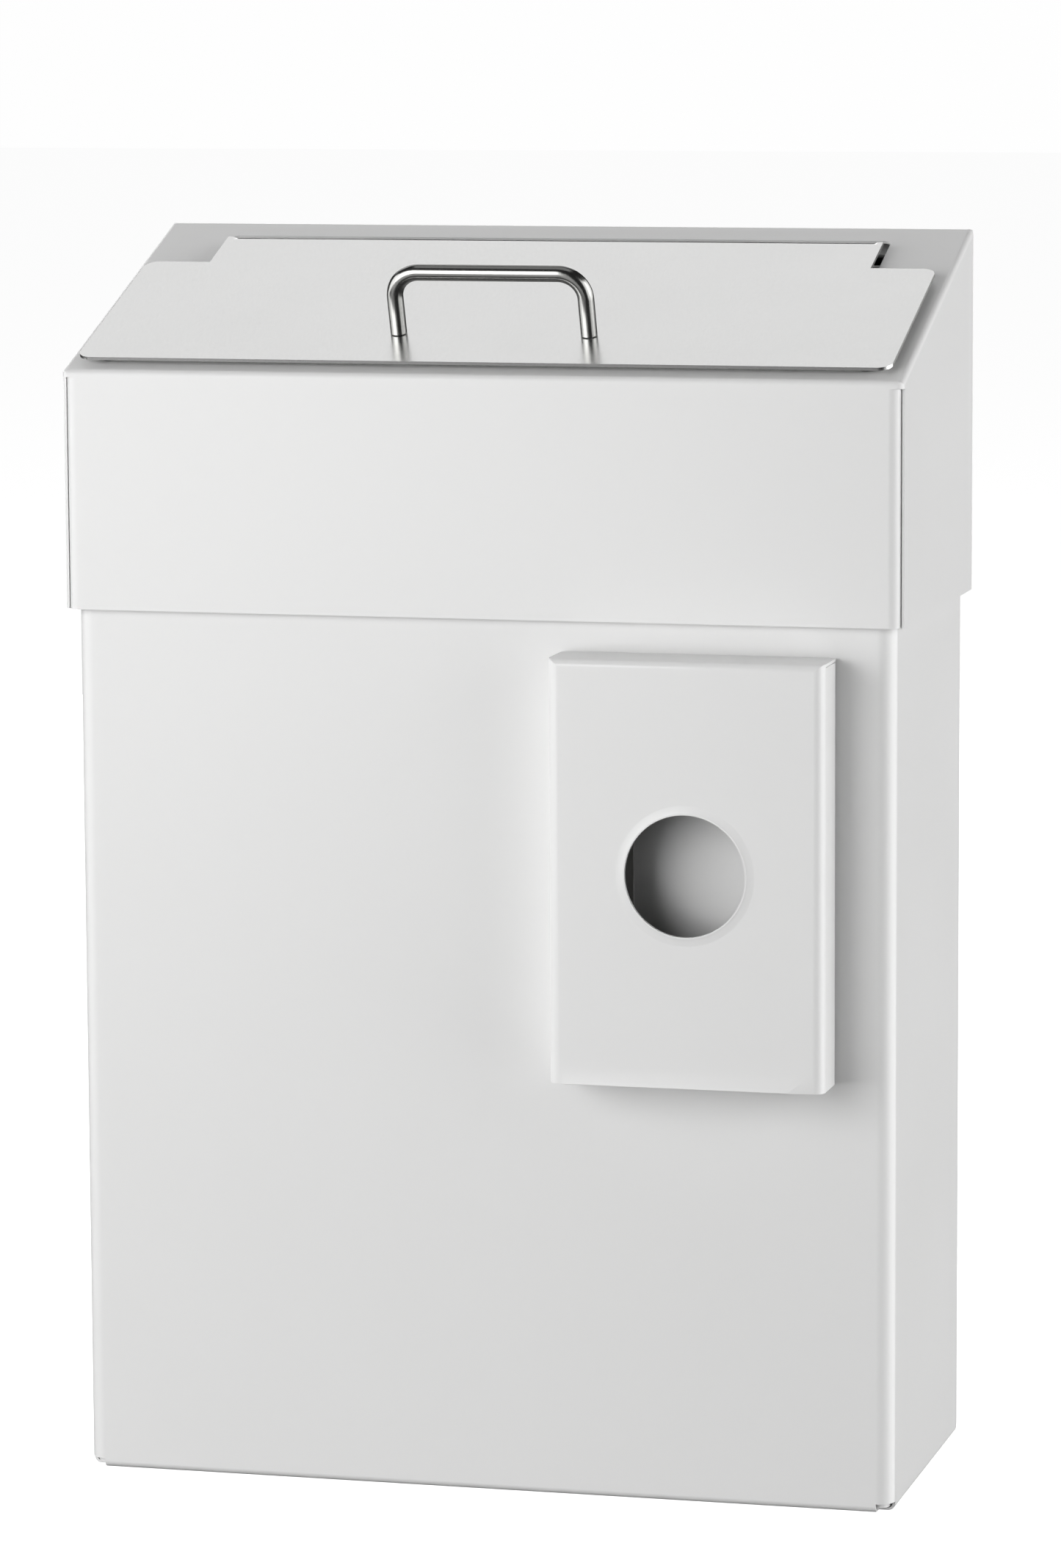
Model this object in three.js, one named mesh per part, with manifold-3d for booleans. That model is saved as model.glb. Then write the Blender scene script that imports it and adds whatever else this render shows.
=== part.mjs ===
// Wall-mounted waste bin of folded steel sheet: a tall body, a lift-off hood with a hinged
// stainless lid, and a bag dispenser on the front. Millimetres, +Z up, the front faces -Y.
// While building, y = 0 is the body's front face; the finished group is centred on its depth.
import * as THREE from 'three';
import { mergeVertices } from 'three/addons/utils/BufferGeometryUtils.js';
import Module from 'manifold-3d';

const wasm = await Module();
wasm.setup();

// ---- driving dimensions ----
const sheet = 1;
const gap = 0.3;              // clearance between pieces that touch
const foldRadius = 2.5;       // outside radius of a folded edge
const hemHeight = 10;

const bodyWidth = 300;
const bodyDepth = 126;
const bodyTop = 385;
const bodyCornerRadius = 6;
const bodyFlange = 16;
const rearReturn = 20;         // the wrap's edges folded in behind
const panelTopFlange = 12;
const cornerRelief = 3.3;     // the wrap's corners end this far above the bottom flanges
const trayRim = 16;

const wallGap = 5;            // from the body's back to the wall
const railLength = 250;
const railHeight = 56;
const railCrown = 30;
const railBend = 1.5;
const wallScrewHole = 2.5;    // half the width of a keyhole's slot
const screwHeadHole = 5;
const keyholeDrop = 3;
const railHeights = { upper: 280, lower: 60 };

const hoodSide = 3.5;         // how far the hood stands out past the body
const hoodFront = 3.3;
const hoodBack = 4.5;
const hoodBottom = 317;
const hoodFrontTop = 403;
const hoodRearTop = 450;
const hoodReturn = 12;        // apron edge tucked inside the side panel
const hoodRestShelf = 8;
const hoodRestEnd = 20;       // from the body's front and back to the rest's ends
const openingHalfWidth = 125.5;
const openingFront = 18;      // distances along the slope, from the hood's front top edge
const openingRear = 127;

const lidSheet = 1.2;
const lidLift = 2.3;          // lid underside above the slope
const lidHalfWidth = 148.5;
const lidFront = 4.2;
const lidShoulder = 93;
const tongueHalfWidth = 124.3;
const tongueRear = 117.5;
const tongueTip = 7.3;        // unbent ends of the tongue's rear edge
const knuckleInner = 75;
const rodRadius = 2;
const rodSpare = 8;           // the rod's length past the opening, each end
const clipWall = 1.1;
const bumperRadius = 4;
const bumperInset = 10;       // from the lid's side edge

const handleSpan = 70;
const handleReach = 23.5;     // from the lid's top to the bar's centre line
const handleRadius = 3;
const handleBend = 9.5;
const handlePlace = 29.2;
const screwRadius = 1.5;
const screwReach = 8;         // into the handle, above the lid

const dispenserWidth = 99;
const dispenserHeight = 151;
const dispenserDepth = 23;
const dispenserX = 80;
const dispenserZ = 230.5;
const dispenserReturn = 26;
const fingerHoleRadius = 21.65;
const rimWidth = 2.7;
const rimRise = 0.6;
const studSpacingX = 71;
const studSpacingZ = 110;
const studRadius = 2;
const studHeadRadius = 4;
const liftTravel = 8;
const studTail = 6;            // behind the body's front face
const nutHeight = 3.2;
const nutAcrossFlats = 7;

const bagWire = 2;
const bagRingHeight = 352;
const ringInset = 10;
const ringBend = 16;
const bracketHalfLength = 15;

// ---- places worked out from them ----
const halfWidth = bodyWidth / 2;
const wallPlane = bodyDepth + wallGap;
const hoodHalfWidth = halfWidth + hoodSide;
const hoodRear = bodyDepth + hoodBack;
const slopeAngle = Math.atan2(hoodRearTop - hoodFrontTop, hoodRear + hoodFront);
const slopeLength = Math.hypot(hoodRearTop - hoodFrontTop, hoodRear + hoodFront);
const lidTop = lidLift + lidSheet;
const panelFront = bodyDepth - 2 * sheet - gap;
const panelRear = panelFront + sheet;
const knuckleInside = rodRadius + gap;
const knuckleOutside = knuckleInside + lidSheet;
const rodPlace = tongueRear + knuckleInside;
const rodDepth = -knuckleOutside - sheet;
const gripPlaces = [-handleSpan / 2, handleSpan / 2];
const screwBore = screwRadius + gap;
const depthCentre = (wallPlane - dispenserDepth - rimRise) / 2;

// ---- finishes ----
const finish = (name, color, roughness, metalness) =>
  new THREE.MeshStandardMaterial({ name, color, roughness, metalness });
const whitePaint = () => finish('white_paint', 0xe4e4e3, 0.45, 0);
const stainless = () => finish('stainless', 0xc9c9c7, 0.3, 1);
const zinc = () => finish('zinc', 0xa9abad, 0.4, 1);
const rubber = () => finish('rubber', 0x26272a, 0.8, 0);

// ---- solids ----
function toSolid(geometry) {
  const bare = geometry.clone();
  bare.deleteAttribute('normal');
  bare.deleteAttribute('uv');
  const merged = mergeVertices(bare, 1e-5);
  const vertProperties = Float32Array.from(merged.attributes.position.array);
  const triVerts = Uint32Array.from(merged.index.array);
  return new wasm.Manifold(new wasm.Mesh({ numProp: 3, vertProperties, triVerts }));
}

function toGeometry(solid) {
  const { vertProperties, triVerts, numProp } = solid.getMesh();
  const positions = [];
  for (let i = 0; i < vertProperties.length; i += numProp) {
    positions.push(vertProperties[i], vertProperties[i + 1], vertProperties[i + 2]);
  }
  const geometry = new THREE.BufferGeometry();
  geometry.setAttribute('position', new THREE.Float32BufferAttribute(positions, 3));
  geometry.setIndex(Array.from(triVerts));
  geometry.computeVertexNormals();
  return geometry;
}

const joined = (...geometries) =>
  toGeometry(geometries.map(toSolid).reduce((whole, piece) => whole.add(piece)));
const without = (geometry, ...cuts) =>
  toGeometry(cuts.map(toSolid).reduce((whole, cut) => whole.subtract(cut), toSolid(geometry)));
const common = (a, b) => toGeometry(toSolid(a).intersect(toSolid(b)));

// A closed outline through corners [u, v, radius]; a corner with a radius becomes an arc. The path
// sets out from a rounded corner, because an arc is only joined to what was drawn before it.
function outline(corners) {
  const shape = new THREE.Shape();
  const first = corners.findIndex((corner) => corner[2] > 0);
  const ordered = [...corners.slice(first), ...corners.slice(0, first)];
  ordered.forEach(([u, v, radius = 0], i) => {
    const corner = new THREE.Vector2(u, v);
    const before = new THREE.Vector2(...ordered.at(i - 1)).sub(corner).normalize();
    const after = new THREE.Vector2(...ordered[(i + 1) % ordered.length]).sub(corner).normalize();
    if (radius > 0) {
      const half = Math.acos(before.dot(after)) / 2;
      const centre = before.clone().add(after).setLength(radius / Math.sin(half)).add(corner);
      const start = before.clone().multiplyScalar(radius / Math.tan(half)).add(corner);
      const end = after.clone().multiplyScalar(radius / Math.tan(half)).add(corner);
      const from = start.clone().sub(centre).angle();
      const to = end.clone().sub(centre).angle();
      const clockwise = before.cross(after) > 0;
      shape.absarc(centre.x, centre.y, radius, from, to, clockwise);
    } else if (i === 0) {
      shape.moveTo(u, v);
    } else {
      shape.lineTo(u, v);
    }
  });
  shape.closePath();
  return shape;
}

// The outline of a bent sheet: one face runs through corners [u, v, radius], and the other
// face lies `thickness` to its left (to its right where thickness is negative).
function folded(corners, thickness = sheet) {
  const points = corners.map(([u, v]) => new THREE.Vector2(u, v));
  const headings = points.slice(1).map((point, i) => point.clone().sub(points[i]).normalize());
  const leftOf = (heading) => new THREE.Vector2(-heading.y, heading.x);
  const farFace = points.map((point, i) => {
    const into = leftOf(headings[Math.max(i - 1, 0)]);
    const out = leftOf(headings[Math.min(i, headings.length - 1)]);
    const bisector = into.clone().add(out).normalize();
    const offset = bisector.multiplyScalar(thickness / bisector.dot(into)).add(point);
    const radius = corners[i][2] ?? 0;
    const turn = into.cross(out) * Math.sign(thickness);
    return [offset.x, offset.y, radius > 0 ? radius - Math.sign(turn) * Math.abs(thickness) : 0];
  });
  return outline([...corners, ...farFace.reverse()]);
}

const rectangle = (u0, v0, u1, v1, radius = 0) =>
  outline([[u0, v0, radius], [u1, v0, radius], [u1, v1, radius], [u0, v1, radius]]);

function circle(u, v, radius) {
  const shape = new THREE.Shape();
  shape.absarc(u, v, radius, 0, 2 * Math.PI);
  return shape;
}

// Prisms of an outline in (x, y), (y, z) or (x, z).
function prismZ(shape, z0, z1, curveSegments = 3) {
  const geometry = new THREE.ExtrudeGeometry(shape, { depth: z1 - z0, bevelEnabled: false, curveSegments });
  return geometry.translate(0, 0, z0);
}
function prismX(shape, x0, x1, curveSegments = 3) {
  return prismZ(shape, x0, x1, curveSegments).rotateX(Math.PI / 2).rotateZ(Math.PI / 2);
}
function prismY(shape, y0, y1, curveSegments = 3) {
  return prismZ(shape, -y1, -y0, curveSegments).rotateX(Math.PI / 2);
}
const block = (x0, y0, z0, x1, y1, z1) => prismZ(rectangle(x0, y0, x1, y1), z0, z1);
const discY = (x, z, radius, y0, y1) => prismY(circle(x, z, radius), y0, y1, 8);
const onSlope = (geometry) => geometry.rotateX(slopeAngle).translate(0, -hoodFront, hoodFrontTop);

function ringShape(u, v, radius, boreRadius) {
  const shape = circle(u, v, radius);
  const bore = new THREE.Path();
  bore.absarc(u, v, boreRadius, 0, 2 * Math.PI, true);
  shape.holes.push(bore);
  return shape;
}

// A flat path laid in the plane z = 0, stopping short of its end by `spare`.
class LevelPath extends THREE.Curve {
  constructor(path, spare = 0) {
    super();
    this.path = path;
    this.share = 1 - spare / path.getLength();
  }

  getPoint(t) {
    const point = this.path.getPoint(t * this.share);
    return new THREE.Vector3(point.x, point.y, 0);
  }
}

// Round wire bent along a level path; `sides` is the number of flats round it.
const wire = (path, radius, steps, sides) => new THREE.ExtrudeGeometry(circle(0, 0, radius), {
  extrudePath: path, steps, curveSegments: sides / 2, bevelEnabled: false });

function mesh(name, geometry, material) {
  const result = new THREE.Mesh(geometry, material);
  result.name = name;
  return result;
}

// ---- body ----
const rivetHeights = [40, 190, 340];
const rivetX = halfWidth - 10;
const rivetShank = 1.6;
const rivetHole = (x, z) => discY(x, z, rivetShank + gap, panelFront - 2, bodyDepth + 2);
const rivetHoles = () => [-1, 1].flatMap((side) => rivetHeights.map((z) => rivetHole(side * rivetX, z)));
const studPlaces = [[-1, 1], [1, 1], [-1, -1], [1, -1]].map(([sideX, sideZ]) => [
  dispenserX + sideX * studSpacingX / 2,
  dispenserZ + sideZ * studSpacingZ / 2,
]);

function bodyShell() {
  const wrapAt = (inset, returnWidth) => [
    [-halfWidth + returnWidth, bodyDepth - inset],
    [-halfWidth + inset, bodyDepth - inset, foldRadius - inset],
    [-halfWidth + inset, inset, bodyCornerRadius - inset],
    [halfWidth - inset, inset, bodyCornerRadius - inset],
    [halfWidth - inset, bodyDepth - inset, foldRadius - inset],
    [halfWidth - returnWidth, bodyDepth - inset],
  ];
  const wrap = prismZ(folded(wrapAt(0, rearReturn)), cornerRelief, bodyTop);
  const hemRun = wrapAt(sheet, 0).slice(1, 5);
  hemRun[0] = [-halfWidth + sheet, panelFront - gap];
  hemRun[3] = [halfWidth - sheet, panelFront - gap];
  const hem = prismZ(folded(hemRun), bodyTop - hemHeight, bodyTop);
  const frontRun = halfWidth - bodyCornerRadius;
  const flangeTop = cornerRelief + foldRadius;
  const frontFlange = prismX(
    folded([[0, flangeTop], [0, 0, foldRadius], [bodyFlange, 0]]), -frontRun, frontRun);
  const sideFlanges = [-1, 1].map((side) => prismY(
    folded([[side * halfWidth, flangeTop], [side * halfWidth, 0, foldRadius],
      [side * (halfWidth - bodyFlange), 0]], -side * sheet),
    bodyCornerRadius, bodyDepth - foldRadius));
  const studHoles = studPlaces.map(([x, z]) => discY(x, z, studRadius + gap, -1, sheet + 1));
  return without(joined(wrap, hem, frontFlange, ...sideFlanges), ...rivetHoles(), ...studHoles);
}

function bottomPlate() {
  const clear = sheet + 3 * gap;   // keeps the tray off the inside of the folds
  const trayOutline = (inset) => rectangle(-halfWidth + clear + inset, clear + inset,
    halfWidth - clear - inset, panelFront - gap - inset, bodyCornerRadius - sheet - inset);
  const floor = sheet + gap;
  return without(prismZ(trayOutline(0), floor, trayRim),
    prismZ(trayOutline(sheet), floor + sheet, trayRim + 1));
}

function backPanel() {
  const profile = folded([
    [panelRear, 0], [panelRear, bodyTop, foldRadius], [panelRear - panelTopFlange, bodyTop]]);
  const edge = halfWidth - 2 * sheet - gap;
  return without(prismX(profile, -edge, edge), ...rivetHoles());
}

// Hat-section rail behind the body; its crown is what lies against the wall.
function hangerRail(middle, keyhole) {
  const foot = panelRear + gap + sheet;
  const profile = folded([
    [foot, middle - railHeight / 2],
    [foot, middle - railCrown / 2, railBend - sheet / 2],
    [wallPlane, middle - railCrown / 2, railBend],
    [wallPlane, middle + railCrown / 2, railBend],
    [foot, middle + railCrown / 2, railBend - sheet / 2],
    [foot, middle + railHeight / 2],
  ]);
  const rail = prismX(profile, -railLength / 2, railLength / 2);
  const cuts = [-railLength / 3, railLength / 3].flatMap((x) => {
    const through = [wallPlane - sheet - 1, wallPlane + 1];
    const entry = discY(x, middle - keyholeDrop, keyhole ? screwHeadHole : wallScrewHole, ...through);
    const slot = prismY(rectangle(x - wallScrewHole, middle - keyholeDrop, x + wallScrewHole,
      middle + 3 * keyholeDrop, wallScrewHole - 0.1), ...through);
    return keyhole ? [entry, slot] : [entry];
  });
  return without(rail, ...cuts);
}

// A turned or headed fastener on the Z axis, from its profile [radius, height].
function turned(profile, segments = 12) {
  const points = [...profile, profile[0]].map(([radius, height]) => new THREE.Vector2(radius, height));
  return new THREE.LatheGeometry(points, segments).rotateX(Math.PI / 2);
}

// Blind rivet through the rear return and the back panel, head towards the wall.
function shellRivet(x, z) {
  const headRadius = 2 * rivetShank;
  const tailRadius = 2.5;
  const tail = 1.2;
  const seat = tail + 2 * sheet + 3 * gap;
  const profile = [[0, 0], [tailRadius, 0], [tailRadius, tail], [rivetShank, tail], [rivetShank, seat],
    [headRadius, seat], [0.75 * headRadius, seat + 1.1], [0, seat + 1.5]];
  return turned(profile).rotateX(-Math.PI / 2).translate(x, panelFront - gap - tail, z);
}

// ---- bag ring and its brackets ----
const interiorMiddle = (sheet + panelFront) / 2;
const ringHalfX = halfWidth - ringInset;
const ringHalfY = (panelFront - sheet) / 2 - ringInset;

// One wire bent to a rounded rectangle; its two ends face each other across a small gap.
function bagRing() {
  const loop = rectangle(-ringHalfX, -ringHalfY, ringHalfX, ringHalfY, ringBend);
  return wire(new LevelPath(loop, 2 * gap), bagWire, 96, 8).translate(0, interiorMiddle, bagRingHeight);
}

// J-shaped bracket on the body's side; the ring lies in its upturned lip.
function bagRingBracket(side) {
  const wall = halfWidth - sheet - gap;
  const top = bodyTop - hemHeight - 2;
  const shelf = bagRingHeight - bagWire - gap - sheet;
  const lip = ringHalfX - bagWire - gap - sheet;
  const profile = folded([
    [side * wall, top], [side * wall, shelf, foldRadius - sheet],
    [side * lip, shelf, foldRadius - sheet], [side * lip, bagRingHeight + 1]], -side * sheet);
  return prismY(profile, interiorMiddle - bracketHalfLength, interiorMiddle + bracketHalfLength);
}

// ---- hood ----
function hoodShell() {
  const inset = hoodHalfWidth - foldRadius;
  const skirtTop = hoodFrontTop - foldRadius - 1;
  const rearSkirtTop = hoodRearTop - 2 * foldRadius;
  const apronHalfWidth = hoodHalfWidth - sheet - gap;
  const sideStart = foldRadius + 0.5;
  const beyond = hoodHalfWidth + 1;
  // The front-to-rear strip lies a hair inside the sheet that also folds down at the sides.
  const tuck = 0.05;
  const crossing = (shift) => [
    [-hoodFront, hoodBottom], [-hoodFront, hoodFrontTop + shift, foldRadius],
    [hoodRear, hoodRearTop + shift, foldRadius], [hoodRear, hoodBottom]];
  const cover = prismX(folded(crossing(-tuck), 2 * tuck - sheet), -inset, inset);
  const silhouette = prismX(outline(crossing(tuck)), -beyond, beyond);
  const sidesAndTop = onSlope(prismY(folded([
    [-hoodHalfWidth, -slopeLength], [-hoodHalfWidth, 0, foldRadius],
    [hoodHalfWidth, 0, foldRadius], [hoodHalfWidth, -slopeLength]], -sheet), -slopeLength, 2 * slopeLength));
  const trimmed = without(common(sidesAndTop, silhouette),
    block(-beyond, -hoodFront - 1, hoodBottom - 1, beyond, sideStart - hoodFront, skirtTop),
    block(-beyond, hoodRear - sideStart, hoodBottom - 1, beyond, hoodRear + 1, rearSkirtTop));
  const skirt = (face, heading, top) => prismZ(folded([
    [-apronHalfWidth, face + heading * hoodReturn], [-apronHalfWidth, face, foldRadius],
    [apronHalfWidth, face, foldRadius], [apronHalfWidth, face + heading * hoodReturn]],
  heading * sheet), hoodBottom, top);
  const hemTop = hoodBottom + hemHeight;
  const hems = [
    block(-inset + sheet, -hoodFront + sheet, hoodBottom, inset - sheet, -hoodFront + 2 * sheet, hemTop),
    block(-inset + sheet, hoodRear - 2 * sheet, hoodBottom, inset - sheet, hoodRear - sheet, hemTop),
    ...[-1, 1].map((side) => prismY(rectangle(side * (hoodHalfWidth - 2 * sheet), hoodBottom,
      side * (hoodHalfWidth - sheet / 2), hemTop), hoodReturn, hoodRear - hoodReturn - 2)),
  ];
  const opening = onSlope(prismZ(
    rectangle(-openingHalfWidth, openingFront, openingHalfWidth, openingRear, 3), -5, 5));
  const skirts = [skirt(-hoodFront, 1, skirtTop), skirt(hoodRear, -1, rearSkirtTop)];
  return without(joined(cover, trimmed, ...skirts, ...hems), opening);
}

// Angle inside the hood's side panel; it sits on the body's top edge and carries the hood.
function hoodRest(side) {
  const wall = hoodHalfWidth - sheet - gap;
  const profile = folded([
    [side * wall, bodyTop + gap + hemHeight], [side * wall, bodyTop + gap, foldRadius - 1],
    [side * (wall - hoodRestShelf), bodyTop + gap]], -side * sheet);
  return prismY(profile, hoodRestEnd, bodyDepth - hoodRestEnd);
}

const earPlace = openingHalfWidth + 2;
const earSheet = 1.5;
const earFoot = 16;
const earDrop = 5;            // below the rod's centre
const earFront = 6;           // in front of the rod's centre
const earRear = 15;
const footFront = 4;

// Ear for the hinge rod; its foot lies under the slope behind the rod.
function hingeBracket(side) {
  const foot = earPlace + earFoot;
  const under = -sheet - gap;
  const profile = folded([[side * earPlace, rodDepth - earDrop], [side * earPlace, under, earSheet + 0.5],
    [side * foot, under]], -side * earSheet);
  const bracket = prismY(profile, rodPlace - earFront, rodPlace + earRear);
  const [x0, x1] = [side * (earPlace + earSheet), side * (foot + 1)].sort((a, b) => a - b);
  const clearing = block(x0, rodPlace - earFront - 1, rodDepth - earDrop - 1, x1, rodPlace + footFront, 0);
  const hole = prismX(circle(rodPlace, rodDepth, rodRadius + gap), side * earPlace - 4, side * earPlace + 4, 8);
  return without(bracket, clearing, hole);
}

const rodHalfLength = openingHalfWidth + rodSpare;
const hingeRod = () => prismX(circle(rodPlace, rodDepth, rodRadius), -rodHalfLength, rodHalfLength, 8);

function rodClip(side) {
  const ring = ringShape(rodPlace, rodDepth, rodRadius + clipWall, rodRadius + gap);
  const inner = earPlace + earSheet + gap;
  const [x0, x1] = [side * inner, side * (inner + sheet)].sort((a, b) => a - b);
  return prismX(ring, x0, x1, 8);
}

function lidBumper(x, place) {
  const top = lidLift - gap;
  const round = 0.6;
  const profile = [[0, gap], [bumperRadius, gap], [bumperRadius, top - round],
    [bumperRadius - round, top], [0, top]];
  return turned(profile, 16).translate(x, place, 0);
}

// ---- lid, in slope coordinates: x, distance up the slope, height above it ----
function lidFlap() {
  const cornerRadius = 5;
  const bendStart = tongueRear - foldRadius;
  const flat = prismZ(outline([
    [-lidHalfWidth, lidFront, cornerRadius], [lidHalfWidth, lidFront, cornerRadius],
    [lidHalfWidth, lidShoulder, cornerRadius], [tongueHalfWidth, lidShoulder],
    [tongueHalfWidth, tongueRear], [tongueHalfWidth - tongueTip, tongueRear],
    [tongueHalfWidth - tongueTip, bendStart], [tongueTip - tongueHalfWidth, bendStart],
    [tongueTip - tongueHalfWidth, tongueRear], [-tongueHalfWidth, tongueRear],
    [-tongueHalfWidth, lidShoulder], [-lidHalfWidth, lidShoulder, cornerRadius]]), lidLift, lidTop, 4);
  const curl = new THREE.Shape();
  const curlEnd = THREE.MathUtils.degToRad(470);
  curl.moveTo(bendStart - 2, lidTop);
  curl.absarc(bendStart, lidTop - foldRadius, foldRadius, Math.PI / 2, 0, true);
  curl.absarc(rodPlace, rodDepth, knuckleInside, Math.PI, curlEnd);
  curl.absarc(rodPlace, rodDepth, knuckleOutside, curlEnd, Math.PI, true);
  curl.absarc(bendStart, lidTop - foldRadius, foldRadius - lidSheet, 0, Math.PI / 2);
  curl.lineTo(bendStart - 2, lidLift);
  const bendEnd = tongueHalfWidth - tongueTip - gap;
  const leg = prismX(curl, -bendEnd, bendEnd, 6);
  const middleCut = block(-knuckleInner, tongueRear - 4, rodDepth - 5, knuckleInner, rodPlace + 5, -1.5);
  const screwHoles = gripPlaces.map((x) =>
    prismZ(circle(x, handlePlace, screwBore), lidLift - 1, lidTop + 1, 6));
  return without(joined(flat, leg), middleCut, ...screwHoles);
}

// Bow handle: a rod bent up, across and down again, bored from below for its screws.
function lidHandle() {
  const half = handleSpan / 2;
  const line = new THREE.Path();
  line.moveTo(-half, gap);
  line.lineTo(-half, handleReach - handleBend);
  line.absarc(handleBend - half, handleReach - handleBend, handleBend, Math.PI, Math.PI / 2, true);
  line.lineTo(half - handleBend, handleReach);
  line.absarc(half - handleBend, handleReach - handleBend, handleBend, Math.PI / 2, 0, true);
  line.lineTo(half, gap);
  const rod = wire(new LevelPath(line), handleRadius, 44, 12).rotateX(Math.PI / 2);
  const bores = gripPlaces.map((x) => prismZ(circle(x, 0, screwBore), -1, screwReach + gap, 6));
  return without(rod, ...bores).translate(0, handlePlace, lidTop);
}

const washerTop = lidLift - gap;
const washerBottom = washerTop - 0.8;

const handleWasher = (side) =>
  prismZ(ringShape(side * handleSpan / 2, handlePlace, 3 * screwRadius, screwBore), washerBottom, washerTop, 8);

function handleScrew(side) {
  const headTop = washerBottom - gap;
  const headBottom = headTop - 2.2;
  const headRadius = 2.8;
  const tip = lidTop + screwReach;
  const profile = [[0, headBottom], [headRadius - 1.2, headBottom], [headRadius, headBottom + 1],
    [headRadius, headTop], [screwRadius, headTop], [screwRadius, tip], [0, tip]];
  return turned(profile).translate(side * handleSpan / 2, handlePlace, 0);
}

// ---- bag dispenser, hung on four headed studs ----
function dispenserCover() {
  const half = dispenserWidth / 2;
  const rear = -gap - 0.1;
  const low = dispenserZ - dispenserHeight / 2;
  const high = dispenserZ + dispenserHeight / 2;
  const wrap = prismZ(folded([
    [-half + dispenserReturn, rear], [-half, rear, foldRadius], [-half, -dispenserDepth, foldRadius],
    [half, -dispenserDepth, foldRadius], [half, rear, foldRadius], [half - dispenserReturn, rear]]),
  low, high - sheet - gap).translate(dispenserX, 0, 0);
  const flap = (edge, heading, halfLength) => prismX(folded([
    [-dispenserDepth, edge - heading * 2 * foldRadius], [-dispenserDepth, edge, foldRadius], [rear, edge]],
  -heading * sheet), dispenserX - halfLength, dispenserX + halfLength);
  const top = flap(high, 1, half - foldRadius + 0.5);
  const topPlate = block(dispenserX - half, foldRadius - dispenserDepth, high - sheet,
    dispenserX + half, rear, high);
  const bottom = flap(low, -1, half - sheet - gap);
  const rim = turned([[fingerHoleRadius - 0.5, 0], [fingerHoleRadius + rimWidth, 0],
    [fingerHoleRadius + rimWidth - 0.6, rimRise], [fingerHoleRadius - 0.5, rimRise]], 40)
    .rotateX(Math.PI / 2).translate(dispenserX, -dispenserDepth + 0.02, dispenserZ);
  const hole = prismY(circle(dispenserX, dispenserZ, fingerHoleRadius),
    -dispenserDepth - 2, -dispenserDepth + 2, 20);
  const keyholes = studPlaces.flatMap(([x, z]) => {
    const neck = studRadius + gap;
    const through = [rear - sheet - 1, rear + 1];
    return [
      prismY(rectangle(x - neck, z - liftTravel, x + neck, z + neck, 1), ...through),
      discY(x, z - liftTravel, studHeadRadius + gap, ...through),
    ];
  });
  return without(joined(wrap, top, topPlate, bottom, rim), hole, ...keyholes);
}

// Headed stud through the body's front; its nut is inside.
function dispenserStud(x, z) {
  const flangeFront = gap + 0.1 + sheet;
  const profile = [[0, -studTail], [studRadius, -studTail], [studRadius, flangeFront + gap],
    [studHeadRadius, flangeFront + gap], [studHeadRadius, flangeFront + gap + 1.2],
    [studHeadRadius - 0.8, flangeFront + gap + 1.7], [0, flangeFront + gap + 1.7]];
  return turned(profile).rotateX(Math.PI / 2).translate(x, 0, z);
}

function studNut(x, z) {
  const cornerRadius = nutAcrossFlats / 2 / Math.cos(Math.PI / 6);
  const corners = Array.from({ length: 6 }, (_, i) => i * Math.PI / 3)
    .map((angle) => [x + cornerRadius * Math.cos(angle), z + cornerRadius * Math.sin(angle)]);
  const hexagon = outline(corners);
  hexagon.holes = ringShape(x, z, nutAcrossFlats, studRadius + gap).holes;
  return prismY(hexagon, sheet + gap, sheet + gap + nutHeight, 6);
}

// ---- assembly ----
const bin = new THREE.Group();
bin.position.y = -depthCentre;

bin.add(mesh('body_shell', bodyShell(), whitePaint()));
bin.add(mesh('bottom_plate', bottomPlate(), whitePaint()));
bin.add(mesh('back_panel', backPanel(), whitePaint()));
bin.add(mesh('hanger_rail_upper', hangerRail(railHeights.upper, true), zinc()));
bin.add(mesh('hanger_rail_lower', hangerRail(railHeights.lower, false), zinc()));
for (const side of [-1, 1]) {
  const word = side < 0 ? 'left' : 'right';
  rivetHeights.forEach((z, i) => {
    bin.add(mesh(`shell_rivet_${word}_${i + 1}`, shellRivet(side * rivetX, z), zinc()));
  });
  bin.add(mesh(`bag_ring_bracket_${word}`, bagRingBracket(side), zinc()));
}
bin.add(mesh('bag_ring', bagRing(), stainless()));

const hood = new THREE.Group();
hood.add(mesh('hood_shell', hoodShell(), whitePaint()));
hood.add(mesh('hood_rest_left', hoodRest(-1), whitePaint()));
hood.add(mesh('hood_rest_right', hoodRest(1), whitePaint()));
bin.add(hood);

const slope = new THREE.Group();
slope.position.set(0, -hoodFront, hoodFrontTop);
slope.rotation.x = slopeAngle;
slope.add(mesh('hinge_rod', hingeRod(), zinc()));
const bumperX = lidHalfWidth - bumperInset;
const bumperRows = [lidFront + 8, lidShoulder - 9];
bumperRows.flatMap((place) => [[-bumperX, place], [bumperX, place]]).forEach(([x, place], i) => {
  slope.add(mesh(`lid_bumper_${i + 1}`, lidBumper(x, place), rubber()));
});
slope.add(mesh('lid_flap', lidFlap(), stainless()));
slope.add(mesh('lid_handle', lidHandle(), stainless()));
for (const side of [-1, 1]) {
  const word = side < 0 ? 'left' : 'right';
  slope.add(mesh(`hinge_bracket_${word}`, hingeBracket(side), zinc()));
  slope.add(mesh(`rod_clip_${word}`, rodClip(side), zinc()));
  slope.add(mesh(`handle_washer_${word}`, handleWasher(side), zinc()));
  slope.add(mesh(`handle_screw_${word}`, handleScrew(side), zinc()));
}
hood.add(slope);

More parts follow.
